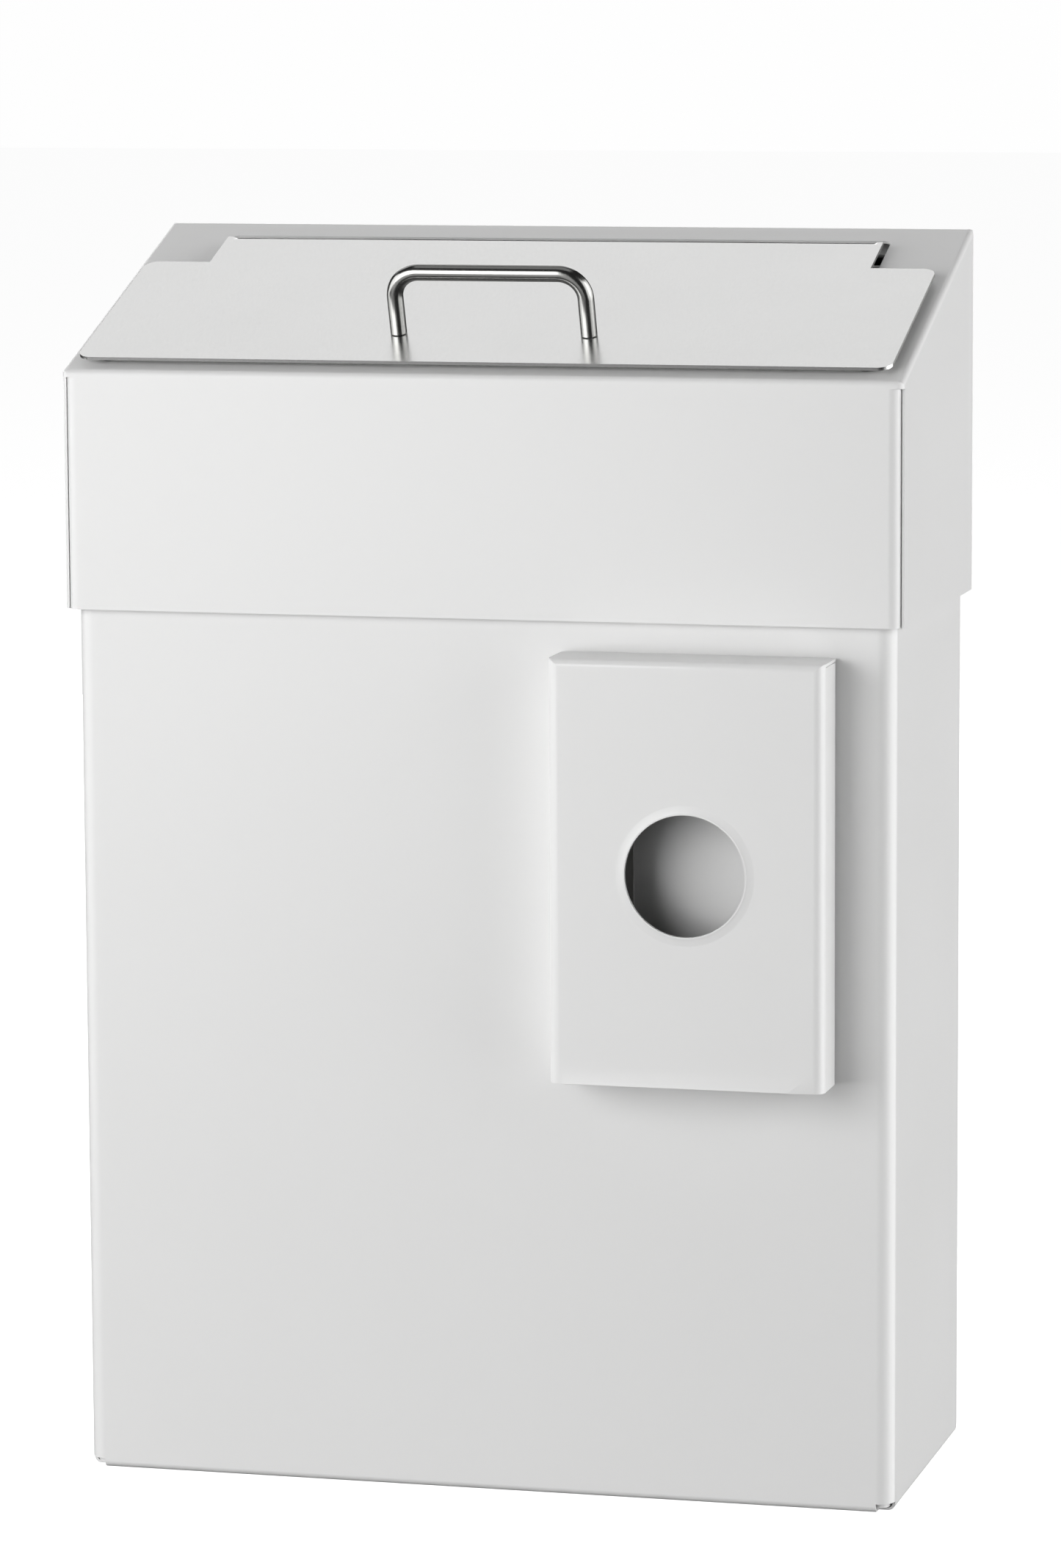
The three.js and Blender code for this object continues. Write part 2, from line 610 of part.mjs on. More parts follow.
const dispenser = new THREE.Group();
dispenser.add(mesh('dispenser_cover', dispenserCover(), whitePaint()));
studPlaces.forEach(([x, z], i) => {
  dispenser.add(mesh(`dispenser_stud_${i + 1}`, dispenserStud(x, z), zinc()));
  dispenser.add(mesh(`stud_nut_${i + 1}`, studNut(x, z), zinc()));
});
bin.add(dispenser);

export default bin;
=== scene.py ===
"""A wall-mounted waste bin of folded white steel, with a stainless lid and a bag dispenser.

Every piece is built fine in place of its CAD node. Lengths are in millimetres while a piece is
built, and two frames put them where the CAD has them: UPRIGHT, with y counted back from the
body's front face, and SLOPE, with y running up the hood's slope and z standing off it.
"""
import math

import bmesh
import bpy
from mathutils import Matrix, Vector


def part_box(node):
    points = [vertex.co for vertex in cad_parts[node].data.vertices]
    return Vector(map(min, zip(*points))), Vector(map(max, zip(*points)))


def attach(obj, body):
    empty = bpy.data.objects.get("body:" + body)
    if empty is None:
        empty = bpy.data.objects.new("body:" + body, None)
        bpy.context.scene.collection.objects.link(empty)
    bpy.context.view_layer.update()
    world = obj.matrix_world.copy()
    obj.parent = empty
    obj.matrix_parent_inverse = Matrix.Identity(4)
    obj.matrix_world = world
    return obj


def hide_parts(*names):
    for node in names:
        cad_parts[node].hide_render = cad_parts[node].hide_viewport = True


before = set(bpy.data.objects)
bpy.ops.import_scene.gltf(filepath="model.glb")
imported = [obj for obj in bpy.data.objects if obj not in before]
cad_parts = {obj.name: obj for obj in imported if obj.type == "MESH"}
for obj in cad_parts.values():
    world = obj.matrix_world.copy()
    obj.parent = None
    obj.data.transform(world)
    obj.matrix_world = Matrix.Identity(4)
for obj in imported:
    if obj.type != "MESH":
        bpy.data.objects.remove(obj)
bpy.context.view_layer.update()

MM = 0.001

# ---- sheet metal ----
SHEET = 1.0
GAP = 0.3
FOLD = 2.5                # outside radius of a folded edge
BODY_FOLD = 6.0
EDGE = 0.2                # what the coating rounds off a cut edge
HEM = 10.0
FOLD_STEPS = 8
ROUND_STEPS = 40
SMALL_STEPS = 32          # round a pin, rivet or screw
PAST = 1.0                # how far a cut reaches past what it cuts
POINT = 0.01              # the radius left at the ends of a turned solid
MERGE = 0.004             # closer points than this are one

# ---- the frame, measured ----
FRONT = Vector((0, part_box("body_shell")[0].y, 0))


def measured(node):
    """A CAD node's lowest and highest corner in millimetres, with y counted from the front."""
    low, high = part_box(node)
    return (low - FRONT) / MM, (high - FRONT) / MM


BODY_LOW, BODY_HIGH = measured("body_shell")
HOOD_LOW, HOOD_HIGH = measured("hood_shell")
COVER_LOW, COVER_HIGH = measured("dispenser_cover")
HALF = BODY_HIGH.x
DEPTH = BODY_HIGH.y
HOOD_HALF = HOOD_HIGH.x
HOOD_DEPTH = HOOD_HIGH.y - HOOD_LOW.y
FRONT_RISE = 86.0         # from the hood's lower edge to the slope's front and rear edges
REAR_RISE = 133.0
SLOPE_ANGLE = math.atan2(REAR_RISE - FRONT_RISE, HOOD_DEPTH)
SLOPE_LENGTH = math.hypot(REAR_RISE - FRONT_RISE, HOOD_DEPTH)
PANEL_FRONT = DEPTH - 2 * SHEET - GAP
PANEL_REAR = PANEL_FRONT + SHEET

UPRIGHT = Matrix.Translation(FRONT) @ Matrix.Scale(MM, 4)
SLOPE = (UPRIGHT @ Matrix.Translation((0, HOOD_LOW.y, HOOD_LOW.z + FRONT_RISE))
         @ Matrix.Rotation(SLOPE_ANGLE, 4, "X"))


# ---- outlines ----
def outline(corners, steps=FOLD_STEPS):
    """The points of a closed outline through corners (u, v) or (u, v, radius)."""
    points = []
    for i, (u, v, *rest) in enumerate(corners):
        here = Vector((u, v))
        radius = rest[0] if rest else 0
        if radius <= 0:
            points.append(here)
            continue
        before = (Vector(corners[i - 1][:2]) - here).normalized()
        after = (Vector(corners[(i + 1) % len(corners)][:2]) - here).normalized()
        half = before.angle(after) / 2
        centre = here + (before + after).normalized() * radius / math.sin(half)
        first = here + before * radius / math.tan(half) - centre
        last = here + after * radius / math.tan(half) - centre
        turn = math.atan2(first.cross(last), first.dot(last))
        for k in range(steps + 1):
            points.append(centre + Matrix.Rotation(turn * k / steps, 2) @ first)
    return points


def folded(corners, thickness=SHEET, steps=FOLD_STEPS):
    """The outline of a bent sheet: one face runs through the corners (u, v, radius), the other
    lies `thickness` to its left, and the cut ends are rounded a little."""
    points = [Vector(corner[:2]) for corner in corners]
    headings = [(b - a).normalized() for a, b in zip(points, points[1:])]
    far = []
    for i, point in enumerate(points):
        into = headings[max(i - 1, 0)].orthogonal()
        out = headings[min(i, len(headings) - 1)].orthogonal()
        bisector = (into + out).normalized()
        radius = corners[i][2] if len(corners[i]) > 2 else 0
        turn = math.copysign(1, into.cross(out) * thickness)
        offset = point + bisector * thickness / bisector.dot(into)
        far.append((*offset, radius - turn * abs(thickness) if radius > 0 else 0))
    near = [(*point, *corner[2:]) for point, corner in zip(points, corners)]
    for end in (0, -1):
        near[end] = (*near[end][:2], EDGE)
        far[end] = (*far[end][:2], EDGE)
    return outline(near + far[::-1], steps)


def rectangle(u0, v0, u1, v1, radius=0, steps=FOLD_STEPS):
    return outline([(u, v, radius) for u, v in ((u0, v0), (u1, v0), (u1, v1), (u0, v1))], steps)


def circle(u, v, radius, steps=ROUND_STEPS):
    angles = [2 * math.pi * k / steps for k in range(steps)]
    return [Vector((u + radius * math.cos(a), v + radius * math.sin(a))) for a in angles]


# ---- solids ----
AXES = {
    "X": lambda u, v, w: (w, u, v),
    "Y": lambda u, v, w: (u, w, v),
    "Z": lambda u, v, w: (u, v, w),
}


def made(bm):
    bmesh.ops.recalc_face_normals(bm, faces=bm.faces)
    mesh = bpy.data.meshes.new("shape")
    bm.to_mesh(mesh)
    bm.free()
    obj = bpy.data.objects.new("shape", mesh)
    bpy.context.scene.collection.objects.link(obj)
    return obj


def lofted(rings, closed=False):
    """A solid skinned over rings of as many points each; its ends are filled unless it closes."""
    bm = bmesh.new()
    loops = [[bm.verts.new(point) for point in ring] for ring in rings]
    pairs = list(zip(loops, loops[1:] + loops[:1]))
    for ring, following in pairs if closed else pairs[:-1]:
        for i in range(len(ring)):
            j = (i + 1) % len(ring)
            bm.faces.new((ring[i], ring[j], following[j], following[i]))
    if not closed:
        bm.faces.new(loops[0])
        bm.faces.new(loops[-1])
    return made(bm)


def prism(points, low, high, along="Z"):
    return lofted([[AXES[along](u, v, w) for u, v in points] for w in sorted((low, high))])


def block(x0, y0, z0, x1, y1, z1):
    return prism(rectangle(x0, y0, x1, y1), z0, z1)


def disc(x, z, radius, y0, y1, steps=ROUND_STEPS):
    return prism(circle(x, z, radius, steps), y0, y1, "Y")


def turned(profile, steps=ROUND_STEPS):
    """A solid turned about the Z axis from (radius, height) points, from one end to the other."""
    angles = [2 * math.pi * k / steps for k in range(steps)]
    return lofted([[(radius * math.cos(angle), radius * math.sin(angle), height) for angle in angles]
                   for radius, height in profile])


def wire(path, radius, closed=False, sides=24):
    """A round rod along a path of points in a level plane."""
    points = [Vector(point) for point in path]
    count = len(points)
    angles = [2 * math.pi * k / sides for k in range(sides)]
    rings = []
    for i, point in enumerate(points):
        ahead = points[(i + 1) % count] if closed or i + 1 < count else point
        behind = points[i - 1] if closed or i > 0 else point
        across = (ahead - behind).orthogonal().normalized()
        rings.append([(*(point + across * radius * math.cos(angle)), radius * math.sin(angle))
                      for angle in angles])
    return lofted(rings, closed)


def combined(operation, base, *tools):
    """The base after a boolean with each tool in turn; the tools are used up."""
    for tool in tools:
        modifier = base.modifiers.new("combine", "BOOLEAN")
        modifier.solver = "MANIFOLD"
        modifier.operation = operation
        modifier.object = tool
    shape = base.evaluated_get(bpy.context.evaluated_depsgraph_get())
    mesh = bpy.data.meshes.new_from_object(shape)
    base.modifiers.clear()
    base.data = mesh
    for tool in tools:
        bpy.data.objects.remove(tool)
    return base


def joined(*solids):
    return combined("UNION", *solids)


def without(base, *cuts):
    return combined("DIFFERENCE", base, *cuts)


def common(a, b):
    return combined("INTERSECT", a, b)


def copied(obj):
    twin = obj.copy()
    twin.data = obj.data.copy()
    bpy.context.scene.collection.objects.link(twin)
    return twin


FORWARDS = Matrix.Rotation(math.pi / 2, 4, "X")     # turns a solid's Z axis to the front
BACKWARDS = Matrix.Rotation(-math.pi / 2, 4, "X")


def moved(obj, matrix):
    obj.data.transform(matrix)
    return obj


def tidied(obj):
    """Dissolves what the booleans leave on flat faces, so that the edges can be rounded."""
    bm = bmesh.new()
    bm.from_mesh(obj.data)
    bmesh.ops.remove_doubles(bm, verts=bm.verts, dist=MERGE)
    bmesh.ops.dissolve_degenerate(bm, edges=bm.edges, dist=MERGE)
    bmesh.ops.dissolve_limit(bm, angle_limit=math.radians(0.5), verts=bm.verts, edges=bm.edges)
    bmesh.ops.delete(bm, geom=[edge for edge in bm.edges if edge.is_wire], context="EDGES")
    bmesh.ops.delete(bm, geom=[vert for vert in bm.verts if not vert.link_faces], context="VERTS")
    bm.to_mesh(obj.data)
    bm.free()
    return obj


def piece(name, obj, place, body, material, nodes, edge=EDGE, sharp=28, look=None):
    """Puts a finished shape in the row frame, rounds its edges and lets it stand for its nodes.
    It shows `look`, or else its slot's own material."""
    obj.name = obj.data.name = name
    moved(tidied(obj), place)
    obj.data.shade_smooth()
    if edge > 0:
        rounding = obj.modifiers.new("rounded edges", "BEVEL")
        rounding.width = edge * MM
        rounding.segments = 2
        rounding.limit_method = "ANGLE"
        rounding.angle_limit = math.radians(sharp)
        rounding.harden_normals = True
    else:
        obj.data.set_sharp_from_angle(angle=math.radians(sharp))
    obj.modifiers.new("flat faces stay flat", "WEIGHTED_NORMAL").keep_sharp = True
    obj.data.materials.clear()
    obj.data.materials.append(look or MATERIALS[material])
    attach(obj, body)
    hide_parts(*nodes)
    return obj


# ---- materials ----
def shader_of(name, **values):
    material = bpy.data.materials.new(name)
    material.use_nodes = True
    shader = material.node_tree.nodes["Principled BSDF"]
    for socket, value in values.items():
        shader.inputs[socket.replace("_", " ")].default_value = value
    return material, shader


def noise(tree, scale, detail=3.0, stretch=(1, 1, 1), turn=0.0):
    """Noise on the object's own coordinates; `scale` counts cells per metre."""
    place = tree.nodes.new("ShaderNodeTexCoord")
    mapping = tree.nodes.new("ShaderNodeMapping")
    mapping.vector_type = "TEXTURE"
    mapping.inputs["Rotation"].default_value = (turn, 0, 0)
    mapping.inputs["Scale"].default_value = stretch
    texture = tree.nodes.new("ShaderNodeTexNoise")
    texture.inputs["Scale"].default_value = scale
    texture.inputs["Detail"].default_value = detail
    tree.links.new(place.outputs["Object"], mapping.inputs["Vector"])
    tree.links.new(mapping.outputs["Vector"], texture.inputs["Vector"])
    return texture.outputs["Fac"]


def spread(tree, value, low, high):
    """Noise centred on 0.5 brought to run from low to high."""
    remap = tree.nodes.new("ShaderNodeMapRange")
    remap.inputs["From Min"].default_value = 0.3
    remap.inputs["From Max"].default_value = 0.7
    remap.inputs["To Min"].default_value = low
    remap.inputs["To Max"].default_value = high
    tree.links.new(value, remap.inputs["Value"])
    return remap.outputs["Result"]


def tinted(tree, value, dark, light):
    mix = tree.nodes.new("ShaderNodeMix")
    mix.data_type = "RGBA"
    mix.inputs["A"].default_value = (*dark, 1)
    mix.inputs["B"].default_value = (*light, 1)
    tree.links.new(value, mix.inputs["Factor"])
    return mix.outputs["Result"]


def bumped(tree, height, distance, strength=1.0, below=None):
    bump = tree.nodes.new("ShaderNodeBump")
    bump.inputs["Strength"].default_value = strength
    bump.inputs["Distance"].default_value = distance * MM
    tree.links.new(height, bump.inputs["Height"])
    if below:
        tree.links.new(below, bump.inputs["Normal"])
    return bump.outputs["Normal"]


def powder_coat(name, dark, light):
    """Powder coat: satin, with faint orange peel on long low waves and hardly any tint."""
    material, shader = shader_of(name, Specular_IOR_Level=0.5)
    tree = material.node_tree
    clouds = noise(tree, 14)
    peel = noise(tree, 900, 2)
    waves = noise(tree, 260, 2)
    tree.links.new(tinted(tree, clouds, dark, light), shader.inputs["Base Color"])
    tree.links.new(spread(tree, clouds, 0.295, 0.31), shader.inputs["Roughness"])
    normal = bumped(tree, waves, 0.02, 0.5)
    tree.links.new(bumped(tree, peel, 0.004, 0.6, normal), shader.inputs["Normal"])
    return material


def brushed(name, light, dark, roughness, grain, turn=0.0):
    """Steel with a fine grain, which `grain` stretches along the brushing."""
    material, shader = shader_of(name, Metallic=1.0)
    tree = material.node_tree
    lines = noise(tree, 2600, 2, grain, turn)
    clouds = noise(tree, 30)
    tree.links.new(tinted(tree, lines, dark, light), shader.inputs["Base Color"])
    tree.links.new(spread(tree, clouds, roughness - 0.01, roughness + 0.01), shader.inputs["Roughness"])
    tree.links.new(bumped(tree, lines, 0.0015, 0.5), shader.inputs["Normal"])
    return material


def zinc_plate(name, dark, light):
    """Zinc plating with a faint blotchy passivation."""
    material, shader = shader_of(name, Metallic=1.0)
    tree = material.node_tree
    blotches = noise(tree, 160, 4)
    fine = noise(tree, 1500)
    tree.links.new(tinted(tree, blotches, dark, light), shader.inputs["Base Color"])
    tree.links.new(spread(tree, fine, 0.3, 0.42), shader.inputs["Roughness"])
    tree.links.new(bumped(tree, fine, 0.005), shader.inputs["Normal"])
    return material


def black_rubber():
    material, shader = shader_of("black_rubber", Specular_IOR_Level=0.3)
    tree = material.node_tree
    fine = noise(tree, 1200)
    colour = tinted(tree, fine, (0.018, 0.018, 0.019), (0.03, 0.03, 0.031))
    tree.links.new(colour, shader.inputs["Base Color"])
    tree.links.new(spread(tree, fine, 0.7, 0.85), shader.inputs["Roughness"])
    tree.links.new(bumped(tree, fine, 0.01), shader.inputs["Normal"])
    return material


EVEN = (1, 1, 1)
UP_SLOPE = (1, 6, 1)
MATERIALS = {
    "white_paint": powder_coat("white_powder_coat", (0.765, 0.765, 0.762), (0.785, 0.785, 0.782)),
    # The rod steel's colour is far darker than the lid's steel: painted shade, the dark that the rod
    # mirrors put into its colour.
    "stainless": brushed("stainless_rod_shaded", (0.40, 0.40, 0.39), (0.32, 0.32, 0.31), 0.22, EVEN),
    "zinc": zinc_plate("bright_zinc", (0.50, 0.52, 0.55), (0.64, 0.65, 0.66)),
    "rubber": black_rubber(),
}
# The hinge rod, its ears and its clips are near black: painted shade, so the slot beside the lid's tongue
# reads dark.
SLOT_SHADE_ZINC = zinc_plate("slot_shade_zinc", (0.05, 0.05, 0.05), (0.08, 0.08, 0.08))
# A darker grey for the faces inside the dispenser box: painted shade in the box's hollow.
INSIDE_SHADE_COAT = powder_coat("painted_inside_shade", (0.26, 0.26, 0.26), (0.40, 0.40, 0.39))
LID_STEEL = brushed("stainless_sheet", (0.80, 0.80, 0.795), (0.72, 0.72, 0.715), 0.24,
                    UP_SLOPE, SLOPE_ANGLE)
# Cut edges: rougher than the lid's faces, and darker in colour as painted shade.
SHADED_CUT_STEEL = brushed("stainless_cut_edge_shaded", (0.36, 0.36, 0.35), (0.28, 0.28, 0.27), 0.5, EVEN)


# ---- camera and studio ----
LENS = 142.6
CAMERA_PLACE = (567.8, -2111.7, 566.6)
CAMERA_YAW = 14.577       # degrees to the right of the front
CAMERA_PITCH = 8.045      # degrees down
CAMERA_ROLL = -0.303
AIM_HEIGHT = 0.22         # the bin's middle, in metres
AMBIENT = 0.02
ROOM = 12                 # metres from the bin to each wall, and up to the ceiling


def look_at(obj, place, target):
    obj.location = place
    obj.rotation_mode = "QUATERNION"
    obj.rotation_quaternion = (Vector(target) - Vector(place)).to_track_quat("-Z", "Y")
    return obj


def direction(around, up):
    """The way out at an angle from the front to the right, and an angle above the floor."""
    level = math.cos(up)
    return Vector((math.sin(around) * level, -math.cos(around) * level, math.sin(up)))


def camera():
    """A long lens, 2.2 m away to the right and a little above."""
    data = bpy.data.cameras.new("camera")
    data.sensor_width = 36
    data.lens = LENS
    obj = bpy.data.objects.new("camera", data)
    bpy.context.scene.collection.objects.link(obj)
    place = Vector(CAMERA_PLACE) * MM + FRONT
    look_at(obj, place, place - direction(math.radians(CAMERA_YAW), math.radians(CAMERA_PITCH)))
    roll = Matrix.Rotation(math.radians(CAMERA_ROLL), 3, "Z")
    obj.rotation_quaternion = obj.rotation_quaternion @ roll.to_quaternion()
    bpy.context.scene.camera = obj


def softbox(name, azimuth, elevation, distance, width, height, power):
    """A soft light aimed at the bin's middle; azimuth is counted from the front to the right."""
    data = bpy.data.lights.new(name, "AREA")
    data.shape = "RECTANGLE"
    data.size, data.size_y = width, height
    data.energy = power
    obj = bpy.data.objects.new(name, data)
    bpy.context.scene.collection.objects.link(obj)
    middle = Vector((0, 0, AIM_HEIGHT))
    way = direction(math.radians(azimuth), math.radians(elevation))
    look_at(obj, middle + way * distance, middle)


def studio():
    """Broad light comes level from the right and from the front left. The lid mirrors a wide
    panel high behind the bin, and weaker lights fill the top and the back."""
    scene = bpy.context.scene
    scene.view_settings.view_transform = "Standard"
    world = bpy.data.worlds.new("studio")
    world.use_nodes = True
    background = world.node_tree.nodes["Background"]
    background.inputs["Color"].default_value = (1, 1, 1, 1)
    background.inputs["Strength"].default_value = AMBIENT
    scene.world = world
    softbox("right", 80, 4, 2.0, 2.0, 2.0, 23.8)
    softbox("right_rear", 110, 5, 2.0, 2.4, 2.4, 35.5)
    softbox("front", -30, 12, 2.2, 1.6, 1.6, 30.7)
    softbox("front_low", -20, -8, 2.2, 2.4, 2.4, 10.9)
    softbox("left", -68, 8, 2.2, 1.6, 1.6, 19.8)
    softbox("behind_high", -150, 45, 2.0, 2.2, 1.2, 7.7)
    softbox("above", 0, 85, 2.2, 1.6, 1.6, 3.3)
    softbox("behind", -165, 8, 2.2, 1.4, 1.4, 12)
    pale_room()


def pale_room():
    """The floor and far walls are a box that glows evenly to the camera and lights nothing."""
    floor = prism(rectangle(-ROOM, -ROOM, ROOM, ROOM), 0, ROOM)
    floor.name = "floor"
    floor.visible_diffuse = False
    floor.visible_glossy = False
    floor.visible_shadow = False
    material, shader = shader_of("pale_floor", Base_Color=(0.85, 0.85, 0.85, 1), Roughness=0.9,
                                 Emission_Color=(1, 1, 1, 1), Emission_Strength=0.95)
    floor.data.materials.append(material)


# ---- body ----
RIVET_HEIGHTS = [40, 190, 340]
RIVET_X = HALF - 10
RIVET_SHANK = 1.6
RIVET_TAIL = 2.5
RIVET_HEAD = 3.2
STUD_PLACES = [tuple(sum(measured(f"dispenser_stud_{i}"), Vector()).xz / 2) for i in range(1, 5)]
STUD = 2.0
STUD_HEAD = 4.0
FLANGE = 16.0
REAR_RETURN = 20.0
RELIEF = 3.3              # the wrap ends this far up, clear of the bends below it
RAIL_CROWN = 15.0         # half the height of a rail's crown
RAIL_BEND = 1.5


def rivet_holes():
    return [disc(side * RIVET_X, z, RIVET_SHANK + GAP, PANEL_FRONT - 2 * PAST, DEPTH + 2 * PAST)
            for side in (-1, 1) for z in RIVET_HEIGHTS]


def body_hem():
    inner = HALF - SHEET
    top = BODY_HIGH.z
    return prism(folded([
        (-inner, PANEL_FRONT - GAP), (-inner, SHEET, BODY_FOLD - SHEET),
        (inner, SHEET, BODY_FOLD - SHEET), (inner, PANEL_FRONT - GAP)]), top - HEM, top)


def body_flanges():
    """The front and side flanges, folded in under the body."""
    leg = RELIEF + FOLD
    run = HALF - BODY_FOLD
    flanges = [prism(folded([(0, leg), (0, 0, FOLD), (FLANGE, 0)]), -run, run, "X")]
    for side in (-1, 1):
        bent = [(side * HALF, leg), (side * HALF, 0, FOLD), (side * (HALF - FLANGE), 0)]
        flanges.append(prism(folded(bent, -side * SHEET), BODY_FOLD, DEPTH - FOLD, "Y"))
    return flanges


def body_sheet():
    """The wrap with its rear returns, the hem round its top and the flanges below."""
    wrap = prism(folded([
        (REAR_RETURN - HALF, DEPTH), (-HALF, DEPTH, FOLD), (-HALF, 0, BODY_FOLD),
        (HALF, 0, BODY_FOLD), (HALF, DEPTH, FOLD), (HALF - REAR_RETURN, DEPTH)]), RELIEF, BODY_HIGH.z)
    stud_holes = [disc(x, z, STUD + GAP, -PAST, SHEET + PAST) for x, z in STUD_PLACES]
    shape = without(joined(wrap, body_hem(), *body_flanges()), *rivet_holes(), *stud_holes)
    piece("body_wrap", shape, UPRIGHT, "root", "white_paint", ["body_shell"])


def floor_tray():
    """The bottom plate, a shallow tray with rounded corners and its rim turned up."""
    clear = SHEET + 3 * GAP
    floor, rim = SHEET + GAP, 16.0

    def tray(inset, low, high):
        side = HALF - clear - inset
        return prism(rectangle(-side, clear + inset, side, PANEL_FRONT - GAP - inset,
                               BODY_FOLD - SHEET - inset), low, high)

    shape = without(tray(0, floor, rim), tray(SHEET, floor + SHEET, rim + PAST))
    piece("floor_tray", shape, UPRIGHT, "root", "white_paint", ["bottom_plate"])


def back_sheet():
    top = BODY_HIGH.z
    edge = HALF - 2 * SHEET - GAP
    lip = 12.0
    bent = [(PANEL_REAR, 0), (PANEL_REAR, top, FOLD), (PANEL_REAR - lip, top)]
    sheet = prism(folded(bent), -edge, edge, "X")
    piece("back_sheet", without(sheet, *rivet_holes()), UPRIGHT, "root", "white_paint", ["back_panel"])


def screw_hole(x, z, wall, keyhole):
    """A plain screw hole, or a keyhole whose slot rises from its entry."""
    shank, entry, rise, drop = 2.5, 5, 9, 3
    back = wall - 2 * PAST
    hole = [disc(x, z - drop, entry if keyhole else shank, back, wall + PAST)]
    if keyhole:
        slot = rectangle(x - shank, z - drop, x + shank, z + rise, shank - 0.1)
        hole.append(prism(slot, back, wall + PAST, "Y"))
    return hole


def hanger(node, keyholes):
    """A hat-section rail whose crown lies on the wall."""
    low, high = measured(node)
    middle, wall, foot = (low.z + high.z) / 2, high.y, low.y + SHEET
    inner_bend = RAIL_BEND - SHEET / 2
    rail = prism(folded([
        (foot, low.z), (foot, middle - RAIL_CROWN, inner_bend), (wall, middle - RAIL_CROWN, RAIL_BEND),
        (wall, middle + RAIL_CROWN, RAIL_BEND), (foot, middle + RAIL_CROWN, inner_bend), (foot, high.z)]),
        low.x, high.x, "X")
    cuts = []
    for end in (low.x, high.x):
        cuts += screw_hole(2 * end / 3, middle, wall, keyholes)
    piece(node.replace("hanger_", ""), without(rail, *cuts), UPRIGHT, "root", "zinc", [node])


def rivet(node, x, z):
    """A blind rivet: its tail inside, its shank through both sheets and its domed head towards
    the wall, with the mandrel's end sunk in the middle."""
    tail = 1.2
    seat = tail + 2 * SHEET + 3 * GAP
    mandrel, mandrel_end = 0.9, seat + 0.9
    dome = [(RIVET_HEAD * math.cos(angle), seat + 0.2 + 1.3 * math.sin(angle))
            for angle in (0.0, 0.35, 0.7, 1.0, 1.2)]
    profile = [(POINT, 0), (RIVET_TAIL - GAP, 0), (RIVET_TAIL, GAP), (RIVET_TAIL, tail),
               (RIVET_SHANK, tail), (RIVET_SHANK, seat), (RIVET_HEAD, seat), *dome,
               (mandrel, mandrel_end), (POINT, mandrel_end)]
    place = Matrix.Translation((x, PANEL_FRONT - GAP - tail, z))
    shape = moved(turned(profile, SMALL_STEPS), place @ BACKWARDS)
    piece(node.replace("shell_", ""), shape, UPRIGHT, "root", "zinc", [node], edge=0)


# ---- bag ring ----
def bag_ring():
    low, high = measured("bag_ring")
    radius = (high.z - low.z) / 2
    half_x, half_y = high.x - radius, (high.y - low.y) / 2 - radius
    corner, steps = 16, 12
    path = rectangle(-half_x, -half_y, half_x, half_y, corner, steps)
    shape = moved(wire(path, radius, closed=True), Matrix.Translation((low + high) / 2))
    piece("bag_loop", shape, UPRIGHT, "root", "stainless", ["bag_ring"], edge=0)


def outer_and_inner(low, high, side):
    """A node's x furthest from the middle of the bin, and its nearest."""
    return (high.x, low.x) if side > 0 else (low.x, high.x)


def bag_bracket(word, side):
    """A bracket on the side panel that carries the ring, its inner edge turned up as a lip."""
    node = f"bag_ring_bracket_{word}"
    low, high = measured(node)
    outer, inner = outer_and_inner(low, high, side)
    ring_low, ring_high = measured("bag_ring")
    lip_top = (ring_low.z + ring_high.z) / 2 + 1
    profile = folded([(outer, high.z), (outer, low.z, FOLD - SHEET), (inner, low.z, FOLD - SHEET),
                      (inner, lip_top)], -side * SHEET)
    piece(f"bag_bracket_{word}", prism(profile, low.y, high.y, "Y"), UPRIGHT, "root", "zinc", [node])


# ---- hood ----
OPENING_HALF = 125.5
OPENING_FRONT = 18.0
OPENING_REAR = 127.0
OPENING_CORNER = 3.0
HOOD_FRONT, HOOD_REAR, HOOD_BASE = HOOD_LOW.y, HOOD_HIGH.y, HOOD_LOW.z
FRONT_TOP = HOOD_BASE + FRONT_RISE
REAR_TOP = HOOD_BASE + REAR_RISE
APRON_BEND = 4.0
APRON_TUCK = 12.0
APRON_HALF = HOOD_HALF - SHEET - GAP
APRON_FLAT = APRON_HALF - APRON_BEND
SIDE_START = FOLD + 0.5   # the side panels begin this far behind the front
CORNER_DROP = 2.5         # and this far below the slope's front edge
BESIDE_HOOD = HOOD_HALF + PAST
SLOPE_IN_UPRIGHT = UPRIGHT.inverted() @ SLOPE
SIDE_VIEW = [(HOOD_FRONT, HOOD_BASE), (HOOD_FRONT, FRONT_TOP, FOLD), (HOOD_REAR, REAR_TOP, FOLD),
             (HOOD_REAR, HOOD_BASE)]
END_VIEW = [(-HOOD_HALF, -SLOPE_LENGTH), (-HOOD_HALF, 0, FOLD), (HOOD_HALF, 0, FOLD),
            (HOOD_HALF, -SLOPE_LENGTH)]


def inside_side_view(solid):
    return common(solid, prism(outline(SIDE_VIEW), -BESIDE_HOOD, BESIDE_HOOD, "X"))


def inside_plan(solid):
    plan = rectangle(-HOOD_HALF, HOOD_FRONT, HOOD_HALF, HOOD_REAR, SIDE_START)
    return common(solid, prism(plan, HOOD_BASE - PAST, REAR_TOP + PAST))


def along_slope(points):
    """A solid on an outline seen along the slope, longer than the slope at both ends."""
    return moved(prism(points, -SLOPE_LENGTH, 2 * SLOPE_LENGTH, "Y"), SLOPE_IN_UPRIGHT)


def hood_sides():
    """The side panels and the slope they fold from, cut away where the front apron turns in."""
    sides = inside_plan(inside_side_view(along_slope(folded(END_VIEW, -SHEET))))
    corners = block(-BESIDE_HOOD, HOOD_FRONT - PAST, HOOD_BASE - PAST,
                    BESIDE_HOOD, HOOD_FRONT + SIDE_START, FRONT_TOP - CORNER_DROP)
    return without(sides, corners)


